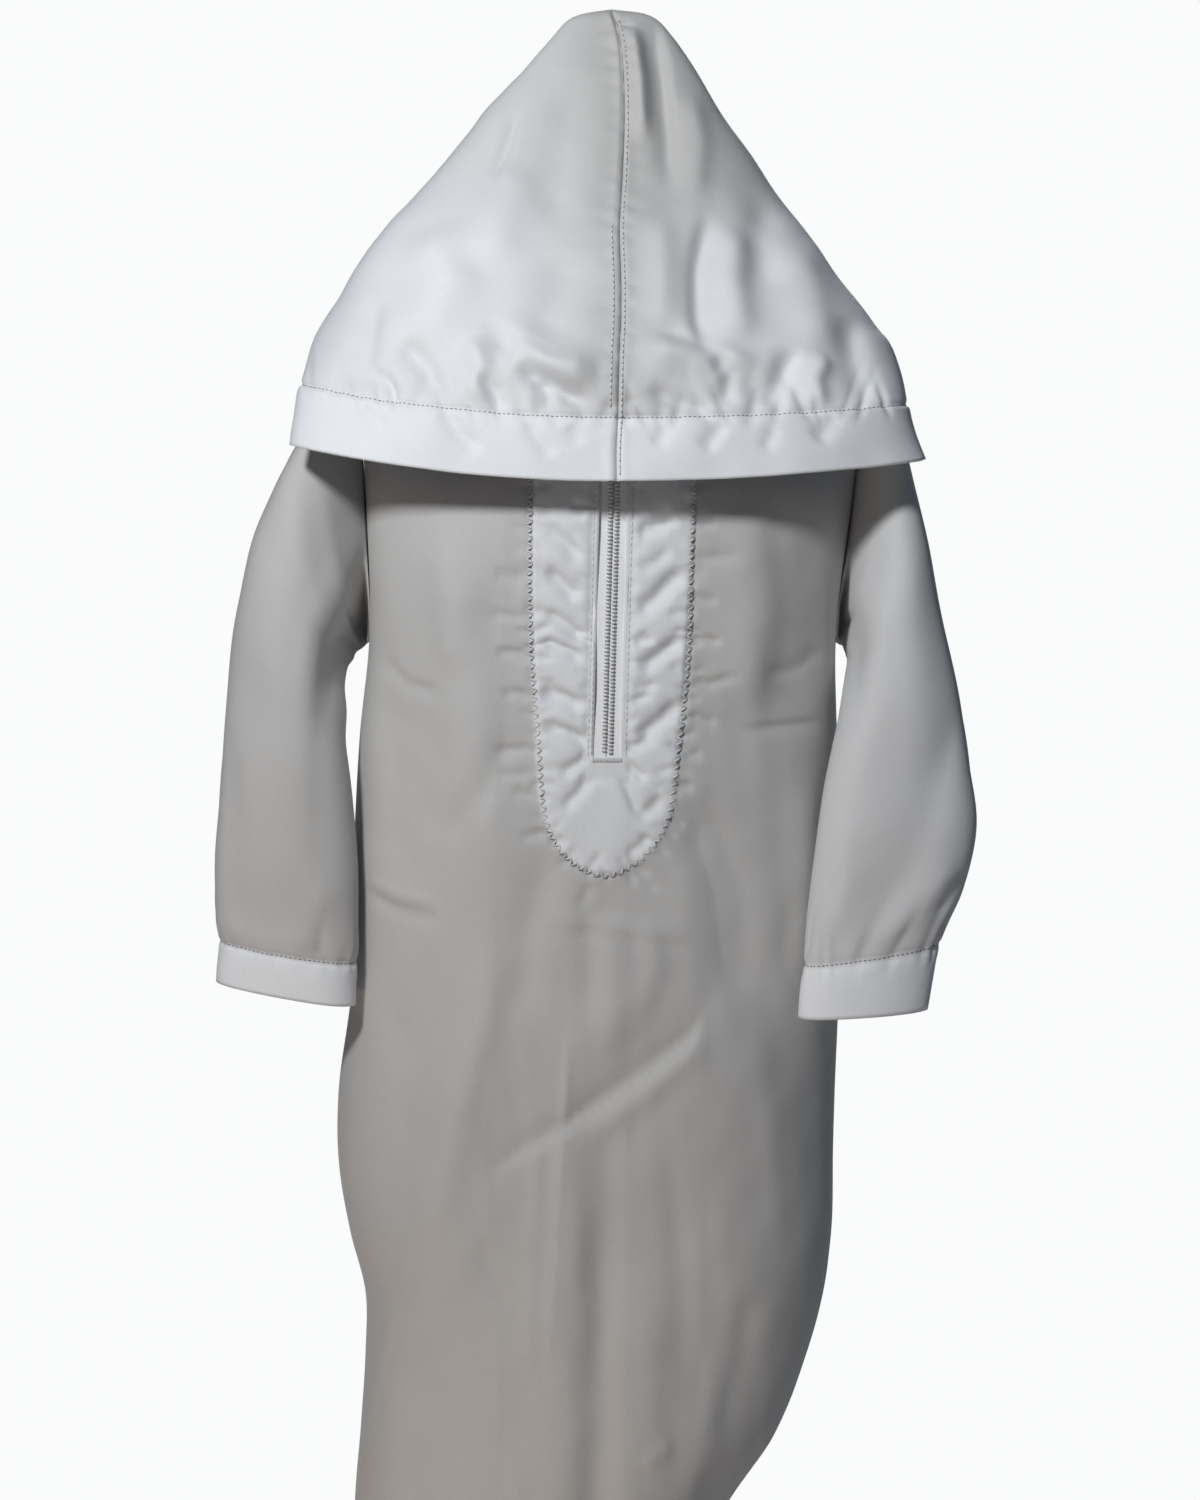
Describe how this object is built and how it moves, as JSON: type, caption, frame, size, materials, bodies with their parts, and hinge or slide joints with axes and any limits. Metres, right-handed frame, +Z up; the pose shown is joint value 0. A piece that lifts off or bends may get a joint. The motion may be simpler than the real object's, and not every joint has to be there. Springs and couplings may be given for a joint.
{
  "type": "hooded thobe robe",
  "caption": "Long hooded robe in fine white cloth, filled out and hollow, with long sleeves, a zipped front placket and a pointed hood hung from its peak.",
  "frame": {"origin": "outside of the hood's peak, where the robe is held up", "axes": "+Z up, the front faces -Y, +X to the right as one looks at the front"},
  "size_m": [0.3659, 0.1925, 0.8001],
  "materials": {
    "cloth": "fine plain weave, slight sheen",
    "thread": "spun sewing thread",
    "zip_tape": "woven zip tape",
    "zip_nylon": "nylon coil",
    "zip_metal": "white lacquered"
  },
  "bodies": {
    "robe": {"body_front": "cloth", "body_back": "cloth", "hem_front": "cloth", "hem_back": "cloth", "sleeve_left": "cloth", "sleeve_right": "cloth", "cuff_hem_left": "cloth", "cuff_hem_right": "cloth", "hood_left": "cloth", "hood_right": "cloth", "hood_hem_left": "cloth", "hood_hem_right": "cloth", "placket": "cloth", "bar_tack": "thread", "zip_tape_left": "zip_tape", "zip_tape_right": "zip_tape", "zip_chain": "zip_nylon", "zip_slider": "zip_metal"},
    "pull_tab": {"zip_pull": "zip_metal"}
  },
  "joints": [
    {"name": "pull_tab_lift", "type": "hinge", "parent": "robe", "child": "pull_tab", "pos_m": [0.00184, -0.05635, -0.1906], "axis": [-1, 0, 0], "range_deg": [0, 120]}
  ]
}
